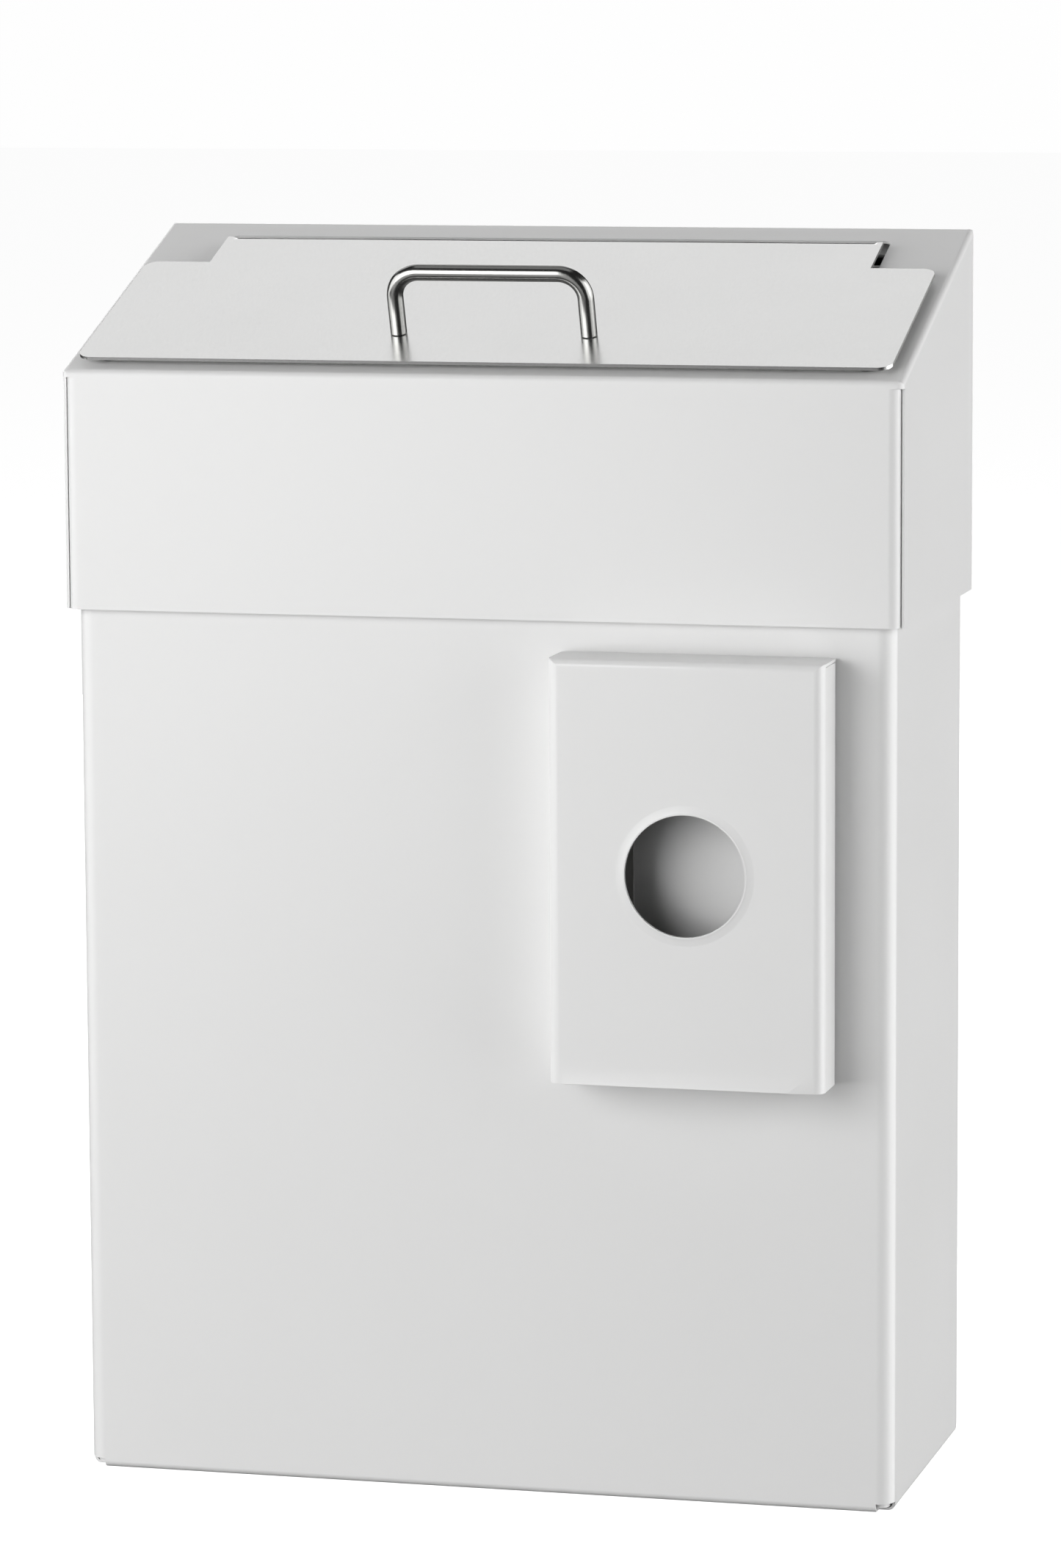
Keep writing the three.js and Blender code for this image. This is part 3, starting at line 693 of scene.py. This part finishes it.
def hood_aprons():
    """The front and rear aprons, whose ends turn in behind the side panels."""
    clear = [(x * (1 - GAP / HOOD_HALF), height - GAP, *fold) for x, height, *fold in END_VIEW]
    aprons = []
    for face, inward, top in ((HOOD_FRONT, 1, FRONT_TOP), (HOOD_REAR, -1, REAR_TOP)):
        end = face + inward * APRON_TUCK
        bent = folded([(-APRON_HALF, end), (-APRON_HALF, face, APRON_BEND),
                       (APRON_HALF, face, APRON_BEND), (APRON_HALF, end)], inward * SHEET)
        apron = inside_side_view(prism(bent, HOOD_BASE, top))
        aprons.append(common(apron, along_slope(outline(clear))))
    return aprons


def hood_corners():
    """What closes the two front corners, between the slope and the ends of the apron."""
    filled = inside_plan(inside_side_view(along_slope(outline(END_VIEW))))
    corners = []
    for x0, x1 in ((-BESIDE_HOOD, 1 - APRON_FLAT), (APRON_FLAT - 1, BESIDE_HOOD)):
        near = block(x0, HOOD_FRONT - PAST, FRONT_TOP - CORNER_DROP,
                     x1, HOOD_FRONT + APRON_TUCK / 2, FRONT_TOP + APRON_TUCK)
        corners.append(common(near, copied(filled)))
    bpy.data.objects.remove(filled)
    return corners


def hood_hems():
    """Each lower edge is folded back inside, so it is two sheets thick."""
    top = HOOD_BASE + HEM
    half = APRON_FLAT - SHEET
    inner, outer = HOOD_HALF - 2 * SHEET, HOOD_HALF - SHEET / 2
    hems = [block(-half, HOOD_FRONT + SHEET / 2, HOOD_BASE, half, HOOD_FRONT + 2 * SHEET, top),
            block(-half, HOOD_REAR - 2 * SHEET, HOOD_BASE, half, HOOD_REAR - SHEET / 2, top)]
    for x0, x1 in ((-outer, -inner), (inner, outer)):
        hems.append(block(x0, APRON_TUCK, HOOD_BASE, x1, HOOD_REAR - APRON_TUCK - 2, top))
    return hems


def hood_sheet():
    """The slope folds down at all four sides. The aprons turn the corner in a wider bend and
    tuck in behind the side panels, which leaves a seam beside each corner."""
    cover = prism(folded(SIDE_VIEW, -SHEET), -APRON_FLAT, APRON_FLAT, "X")
    hole = rectangle(-OPENING_HALF, OPENING_FRONT, OPENING_HALF, OPENING_REAR, OPENING_CORNER)
    opening = moved(prism(hole, -5 * PAST, 5 * PAST), SLOPE_IN_UPRIGHT)
    sheets = joined(cover, hood_sides(), *hood_aprons(), *hood_corners(), *hood_hems())
    piece("hood_sheet", without(sheets, opening), UPRIGHT, "hood", "white_paint", ["hood_shell"])


def hood_rest(word, side):
    """An angle inside the hood, by which it rests on the body."""
    node = f"hood_rest_{word}"
    low, high = measured(node)
    outer, inner = outer_and_inner(low, high, side)
    profile = folded([(outer, high.z), (outer, low.z, FOLD - SHEET), (inner, low.z)], -side * SHEET)
    ledge = prism(profile, low.y, high.y, "Y")
    piece(f"hood_ledge_{word}", ledge, UPRIGHT, "hood", "white_paint", [node])


# ---- hinge, in slope coordinates ----
LID_SHEET = 1.2
LID_LIFT = 2.3
LID_TOP = LID_LIFT + LID_SHEET
TONGUE_REAR = 117.5
ROD = 2.0
KNUCKLE_IN = ROD + GAP
KNUCKLE_OUT = KNUCKLE_IN + LID_SHEET
ROD_PLACE = TONGUE_REAR + KNUCKLE_IN
ROD_DEPTH = -KNUCKLE_OUT - SHEET
EAR = OPENING_HALF + 2
EAR_SHEET = 1.5
EAR_FOOT = EAR + 16


def about_rod(radius, x0, x1, steps=ROUND_STEPS):
    """A round on the rod's own axis, between two places across the hood."""
    return prism(circle(ROD_PLACE, ROD_DEPTH, radius, steps), x0, x1, "X")


def hinge_rod():
    half = OPENING_HALF + 8
    rod = about_rod(ROD, -half, half, SMALL_STEPS)
    piece("hinge_pin", rod, SLOPE, "hood", "zinc", ["hinge_rod"], edge=0.3, look=SLOT_SHADE_ZINC)


def hinge_ear(word, side):
    """An angle under the slope whose upright leg carries the rod; its foot lies behind the rod."""
    under = -SHEET - GAP
    bracket = prism(folded([
        (side * EAR, ROD_DEPTH - 5), (side * EAR, under, EAR_SHEET + 0.5), (side * EAR_FOOT, under)],
        -side * EAR_SHEET), ROD_PLACE - 6, ROD_PLACE + 15, "Y")
    x0, x1 = sorted((side * (EAR + EAR_SHEET), side * (EAR_FOOT + PAST)))
    clearing = block(x0, ROD_PLACE - 7, ROD_DEPTH - 6, x1, ROD_PLACE + 4, 0)
    bore = about_rod(ROD + GAP, side * (EAR - 4), side * (EAR + 4))
    piece(f"hinge_ear_{word}", without(bracket, clearing, bore), SLOPE, "hood", "zinc",
          [f"hinge_bracket_{word}"], look=SLOT_SHADE_ZINC)


def rod_clip(word, side):
    start = EAR + EAR_SHEET + GAP
    x0, x1 = sorted((side * start, side * (start + SHEET)))
    ring = without(about_rod(ROD + 1.1, x0, x1), about_rod(ROD + GAP, x0 - PAST, x1 + PAST))
    piece(f"pin_clip_{word}", ring, SLOPE, "hood", "zinc", [f"rod_clip_{word}"], edge=0.1,
          look=SLOT_SHADE_ZINC)


def bumper(node):
    """A rubber button on the slope, just short of the closed lid."""
    low, high = measured(node)
    centre = SLOPE_IN_UPRIGHT.inverted() @ ((low + high) / 2)
    top = LID_LIFT - GAP
    profile = [(POINT, GAP), (4, GAP), (4, 1.2), (3.8, 1.5), (3.2, 1.9), (2.4, top), (POINT, top)]
    shape = moved(turned(profile, SMALL_STEPS), Matrix.Translation((centre.x, centre.y, 0)))
    piece(node.replace("lid_", "lid_rubber_"), shape, SLOPE, "hood", "rubber", [node], edge=0)


# ---- lid, in slope coordinates ----
LID_HALF = 148.5
LID_FRONT = 4.2
LID_SHOULDER = 93.0
LID_CORNER = 5.0
LID_MIDDLE = (LID_TOP + LID_LIFT) / 2
TONGUE_HALF = 124.3
TONGUE_TIP = 7.3          # where the tongue's bend runs out
BEND_START = TONGUE_REAR - FOLD
BEND_MIDDLE = FOLD - LID_SHEET / 2
BEND_DROP = 2.0           # how far the bent edge goes on past its bend
KNUCKLE_START = 75.0
KNUCKLE_SWEEP = math.radians(290)
HANDLE_PLACE = 29.2
HANDLE_HALF = 35.0
HANDLE_REACH = 23.5
HANDLE_BEND = 9.5
HANDLE = 3.0
SCREW = 1.5
SCREW_BORE = SCREW + GAP
SCREW_HEAD = 2.8
WASHER = 4.5
WASHER_SHEET = 0.8


def lid_plate():
    """The flat of the lid, up to where the end of its tongue takes over."""
    rear = BEND_START - 6
    return prism(outline([
        (-LID_HALF, LID_FRONT, LID_CORNER), (LID_HALF, LID_FRONT, LID_CORNER),
        (LID_HALF, LID_SHOULDER, LID_CORNER), (TONGUE_HALF, LID_SHOULDER), (TONGUE_HALF, rear),
        (-TONGUE_HALF, rear), (-TONGUE_HALF, LID_SHOULDER), (-LID_HALF, LID_SHOULDER, LID_CORNER)]),
        LID_LIFT, LID_TOP)


def tongue_section(x):
    """The tongue's rear end at x, bent down by an angle that fades to nothing at its corners."""
    share = min(max(((TONGUE_HALF - abs(x)) / TONGUE_TIP - 0.15) / 0.95, 0), 1)
    angle = math.pi / 2 * share * share * (3 - 2 * share)
    reach = FOLD + (BEND_MIDDLE * math.pi / 2 + BEND_DROP - FOLD) * share
    arc = min(angle * BEND_MIDDLE, reach)
    line = [(BEND_START - 8, LID_MIDDLE, 0.0)]
    for k in range(FOLD_STEPS + 1):
        turn = angle * k / FOLD_STEPS
        ahead = BEND_MIDDLE * math.sin(turn) if angle > 1e-4 else arc * k / FOLD_STEPS
        line.append((BEND_START + ahead, LID_MIDDLE - BEND_MIDDLE * (1 - math.cos(turn)), turn))
    y, z, turn = line[-1]
    rest = reach - arc
    line.append((y + rest * math.cos(turn), z - rest * math.sin(turn), turn))
    half = LID_SHEET / 2
    upper = [(x, y + half * math.sin(turn), z + half * math.cos(turn)) for y, z, turn in line]
    lower = [(x, y - half * math.sin(turn), z - half * math.cos(turn)) for y, z, turn in line[::-1]]
    return upper + lower


def tongue_end():
    steps, fine = 24, 12
    right = [TONGUE_HALF - fine * k / steps for k in range(steps + 1)]
    return lofted([tongue_section(x) for x in sorted([-x for x in right] + right)])


def rolled(radius):
    """Points round the rod, from in front of it, under it and up behind."""
    turns = [math.pi + KNUCKLE_SWEEP * k / SMALL_STEPS for k in range(SMALL_STEPS + 1)]
    return [(ROD_PLACE + radius * math.cos(turn), ROD_DEPTH + radius * math.sin(turn))
            for turn in turns]


def knuckle(side):
    roll = [(TONGUE_REAR - LID_SHEET, 0.0), *rolled(KNUCKLE_OUT),
            *rolled(KNUCKLE_IN)[::-1], (TONGUE_REAR, 0.0)]
    return prism(roll, side * KNUCKLE_START, side * (TONGUE_HALF - TONGUE_TIP - GAP), "X")


def show_shaded_cut_edges(obj):
    """The cut edges, square to the lid, are rougher than its faces and darker in colour, which is painted
    shade. The knuckles keep its look.
    """
    obj.data.materials[0] = LID_STEEL
    obj.data.materials.append(SHADED_CUT_STEEL)
    up = SLOPE.to_3x3().normalized().col[2]
    above_knuckles = obj.bound_box[0][2] + 12 * MM
    for face in obj.data.polygons:
        is_side = abs(face.normal.dot(up)) < 0.1
        face.material_index = int(is_side and face.center.z > above_knuckles)


def lid_sheet():
    """The lid lies flat, with a tongue at the back whose rear edge bends down into the opening.
    Two knuckles roll round the hinge rod."""
    bores = [prism(circle(x, HANDLE_PLACE, SCREW_BORE), LID_LIFT - PAST, LID_TOP + PAST)
             for x in (-HANDLE_HALF, HANDLE_HALF)]
    shape = without(joined(lid_plate(), tongue_end(), knuckle(-1), knuckle(1)), *bores)
    show_shaded_cut_edges(piece("lid_sheet", shape, SLOPE, "lid", "stainless", ["lid_flap"], edge=0.15))


def handle():
    """A bow of round rod, bored from below for its two screws."""
    steps = 14
    corner, rise = HANDLE_HALF - HANDLE_BEND, HANDLE_REACH - HANDLE_BEND
    angles = [math.pi / 2 * k / steps for k in range(steps + 1)]
    arc = [(corner + HANDLE_BEND * math.cos(angle), rise + HANDLE_BEND * math.sin(angle))
           for angle in angles]
    right = [(HANDLE_HALF, GAP), (HANDLE_HALF, 2 * GAP)] + arc
    path = right + [(-x, z) for x, z in right[::-1]]
    bow = moved(wire(path, HANDLE, sides=ROUND_STEPS), FORWARDS)
    bores = [prism(circle(x, 0, SCREW_BORE), -PAST, 8 + GAP) for x in (-HANDLE_HALF, HANDLE_HALF)]
    shape = moved(without(bow, *bores), Matrix.Translation((0, HANDLE_PLACE, LID_TOP)))
    piece("handle_bow", shape, SLOPE, "lid", "stainless", ["lid_handle"], edge=0.12, sharp=40)


def handle_fixing(word, side):
    """The washer and the pan-head screw that hold one end of the handle."""
    x = side * HANDLE_HALF
    top = LID_LIFT - GAP
    bottom = top - WASHER_SHEET
    washer = without(prism(circle(x, HANDLE_PLACE, WASHER), bottom, top),
                     prism(circle(x, HANDLE_PLACE, SCREW_BORE), bottom - PAST, top + PAST))
    piece(f"grip_washer_{word}", washer, SLOPE, "lid", "zinc", [f"handle_washer_{word}"], edge=0.1)
    seat, tip = bottom - GAP, LID_TOP + 8
    profile = [(POINT, seat - 2.2), (1.4, seat - 2.2), (2.2, seat - 1.9), (2.7, seat - 1.2),
               (SCREW_HEAD, seat - 0.5), (SCREW_HEAD, seat), (SCREW, seat),
               (SCREW, tip - 0.4), (SCREW - GAP, tip), (POINT, tip)]
    place = Matrix.Translation((x, HANDLE_PLACE, 0))
    screw = moved(turned(profile, SMALL_STEPS), place)
    for quarter in (0, 1):
        arm = block(-1.6, -GAP, seat - 3, 1.6, GAP, seat - 1.3)
        screw = without(screw, moved(arm, place @ Matrix.Rotation(quarter * math.pi / 2, 4, "Z")))
    piece(f"grip_screw_{word}", screw, SLOPE, "lid", "zinc", [f"handle_screw_{word}"], edge=0)


# ---- bag dispenser ----
COVER_LEFT, COVER_RIGHT = COVER_LOW.x, COVER_HIGH.x
COVER_BASE, COVER_TOP = COVER_LOW.z, COVER_HIGH.z
COVER_REAR = COVER_HIGH.y
COVER_FACE = COVER_REAR - 22.2
COVER_CENTRE = (COVER_LEFT + COVER_RIGHT) / 2
COVER_MIDDLE = (COVER_BASE + COVER_TOP) / 2
COVER_BEND = 4.0
COVER_RETURN = 26.0
CROWN_BEND = FOLD + GAP
HOLE = 21.65
HOLE_STEPS = 96
SUNK = 0.02               # what a raised part of the front is let into it
FLARE = 0.93              # how far the front's lower edge stands out
FLARE_HEIGHT = 6.8
FLARE_FADE = 9.0
KEYHOLE_TRAVEL = 8.0


def cover_plate(inset, low, high):
    """A level plate that fills the cover, with its front corners rounded as the cover's are."""
    left, right, front = COVER_LEFT + inset, COVER_RIGHT - inset, COVER_FACE + inset
    return prism(outline([(left, front, COVER_BEND), (right, front, COVER_BEND),
                          (right, COVER_REAR, 2), (left, COVER_REAR, 2)]), low, high)


def cover_walls():
    """The front, the sides and the rear returns, rounded along the top of the front."""
    wrap = prism(folded([
        (COVER_LEFT + COVER_RETURN, COVER_REAR), (COVER_LEFT, COVER_REAR, FOLD),
        (COVER_LEFT, COVER_FACE, COVER_BEND), (COVER_RIGHT, COVER_FACE, COVER_BEND),
        (COVER_RIGHT, COVER_REAR, FOLD), (COVER_RIGHT - COVER_RETURN, COVER_REAR)]),
        COVER_BASE, COVER_TOP)
    crown = [(COVER_FACE, COVER_BASE - PAST), (COVER_FACE, COVER_TOP, CROWN_BEND),
             (COVER_REAR + PAST, COVER_TOP), (COVER_REAR + PAST, COVER_BASE - PAST)]
    return common(wrap, prism(outline(crown), COVER_LEFT - PAST, COVER_RIGHT + PAST, "X"))


def cover_roof():
    bent = folded([(COVER_FACE, COVER_TOP - 2 * FOLD), (COVER_FACE, COVER_TOP, CROWN_BEND),
                   (COVER_REAR + PAST, COVER_TOP)], -SHEET)
    return common(cover_plate(0, COVER_TOP - 2 * SHEET, COVER_TOP),
                  prism(bent, COVER_LEFT - PAST, COVER_RIGHT + PAST, "X"))


def cover_lip():
    """The flare along the front's lower edge. It fades out towards the right, and towards the
    left within a short way."""
    top, behind, front = COVER_BASE + FLARE_HEIGHT, COVER_FACE + SHEET / 2, COVER_FACE - FLARE
    left, right = COVER_LEFT + COVER_BEND, COVER_RIGHT - COVER_BEND
    side_view = outline([(behind, COVER_BASE), (front, COVER_BASE, EDGE),
                         (COVER_FACE + SUNK, top), (behind, top)])
    plan = [(left, behind), (left, COVER_FACE), (left + 2, front),
            (right - FLARE_FADE, front), (right, COVER_FACE), (right, behind)]
    return common(prism(side_view, COVER_LEFT, COVER_RIGHT, "X"),
                  prism(plan, COVER_BASE - PAST, top + PAST))


def hole_rim():
    """The soft rim pressed round the finger hole."""
    slope = ((4.0, 0), (3.2, 0.03), (2.2, 0.12), (1.2, 0.28), (0.7, 0.4), (0.45, 0.5))
    profile = [(HOLE - 1, 0), *((HOLE + out, rise) for out, rise in slope), (HOLE - 1, 0.5)]
    place = Matrix.Translation((COVER_CENTRE, COVER_FACE + SUNK, COVER_MIDDLE))
    return moved(turned(profile, HOLE_STEPS), place @ FORWARDS)


def roof_seam(edge, side):
    """The gap between the roof and one side."""
    x0, x1 = sorted((edge - side * 0.6, edge + side * PAST))
    top = COVER_TOP - SHEET
    return block(x0, COVER_FACE + COVER_BEND, top - GAP, x1, COVER_REAR - FOLD, top)


def roof_weld(edge, side):
    """A low bead that closes the front end of a roof seam."""
    bead = turned([(POINT, 0), (0.9, 0), (0.75, 0.18), (0.4, 0.28), (POINT, 0.3)], 16)
    place = (edge - side * 0.35, COVER_FACE + COVER_BEND, COVER_TOP - SHEET - GAP / 2)
    return moved(bead, Matrix.Translation(place) @ Matrix.Rotation(side * math.pi / 2, 4, "Y"))


def cover_keyhole(x, z):
    """The slot a stud's neck rises in, and below it the entry for the stud's head."""
    neck = STUD + GAP
    back, front = COVER_REAR - 2 * PAST, COVER_REAR + PAST
    slot = rectangle(x - neck, z - KEYHOLE_TRAVEL, x + neck, z + neck, neck - 0.05)
    return [prism(slot, back, front, "Y"), disc(x, z - KEYHOLE_TRAVEL, STUD_HEAD + GAP, back, front)]


def shade_inside_box(obj, low, high):
    """The faces inside the narrow box get a darker grey: painted shade, where shade falls inside the box.
    """
    obj.data.materials.append(INSIDE_SHADE_COAT)
    middle = (low + high) / 2
    for face in obj.data.polygons:
        centre = (face.center - FRONT) / MM
        within = all(a < c < b for a, c, b in zip(low, centre, high))
        face.material_index = int(within and face.normal.dot(centre - middle) < 0)


def dispenser():
    """A box folded from one sheet, hung by keyholes in its rear returns."""
    ends = ((COVER_LEFT, -1), (COVER_RIGHT, 1))
    bottom = cover_plate(SHEET / 2, COVER_BASE, COVER_BASE + SHEET)
    finger_hole = disc(COVER_CENTRE, COVER_MIDDLE, HOLE, COVER_FACE - 2 * PAST, COVER_FACE + 2 * PAST,
                       HOLE_STEPS)
    cuts = [finger_hole, *(roof_seam(*end) for end in ends)]
    for x, z in STUD_PLACES:
        cuts += cover_keyhole(x, z)
    box = joined(cover_walls(), cover_roof(), bottom, cover_lip(), hole_rim())
    shape = joined(without(box, *cuts), *(roof_weld(*end) for end in ends))
    obj = piece("dispenser_sheet", shape, UPRIGHT, "dispenser_cover", "white_paint", ["dispenser_cover"])
    wall = SHEET * 0.8
    # Painted shade: the faces inside the box get the darker grey.
    shade_inside_box(obj, Vector((COVER_LEFT + wall, COVER_FACE + wall, COVER_BASE + wall)),
                  Vector((COVER_RIGHT - wall, COVER_REAR - wall, COVER_TOP - wall)))


def stud(index, x, z):
    """A headed stud through the body's front and the nut that holds it inside."""
    end, seat = -6, GAP + 0.1 + SHEET + GAP
    top = seat + 1.7
    profile = [(POINT, end), (STUD - 0.4, end), (STUD, end + 0.4), (STUD, seat), (STUD_HEAD, seat),
               (STUD_HEAD, seat + 1.1), (STUD_HEAD - 0.3, seat + 1.5),
               (STUD_HEAD - 0.9, top), (POINT, top)]
    shape = moved(turned(profile, SMALL_STEPS), Matrix.Translation((x, 0, z)) @ FORWARDS)
    piece(f"headed_stud_{index}", shape, UPRIGHT, "root", "zinc", [f"dispenser_stud_{index}"], edge=0)
    half_across, height, inside = 3.5, 3.2, SHEET + GAP
    nut = disc(x, z, half_across / math.cos(math.pi / 6), inside, inside + height, steps=6)
    nut = without(nut, disc(x, z, STUD + GAP, 0, -end))
    piece(f"hex_nut_{index}", nut, UPRIGHT, "root", "zinc", [f"stud_nut_{index}"], edge=0.15)


# ---- assembly ----
camera()
studio()
body_sheet()
floor_tray()
back_sheet()
hanger("hanger_rail_upper", True)
hanger("hanger_rail_lower", False)
hood_sheet()
hinge_rod()
lid_sheet()
handle()
dispenser()
bag_ring()
for word, side in (("left", -1), ("right", 1)):
    for i, height in enumerate(RIVET_HEIGHTS):
        rivet(f"shell_rivet_{word}_{i + 1}", side * RIVET_X, height)
    bag_bracket(word, side)
    hood_rest(word, side)
    hinge_ear(word, side)
    rod_clip(word, side)
    handle_fixing(word, side)
for i, (x, z) in enumerate(STUD_PLACES, 1):
    stud(i, x, z)
    bumper(f"lid_bumper_{i}")
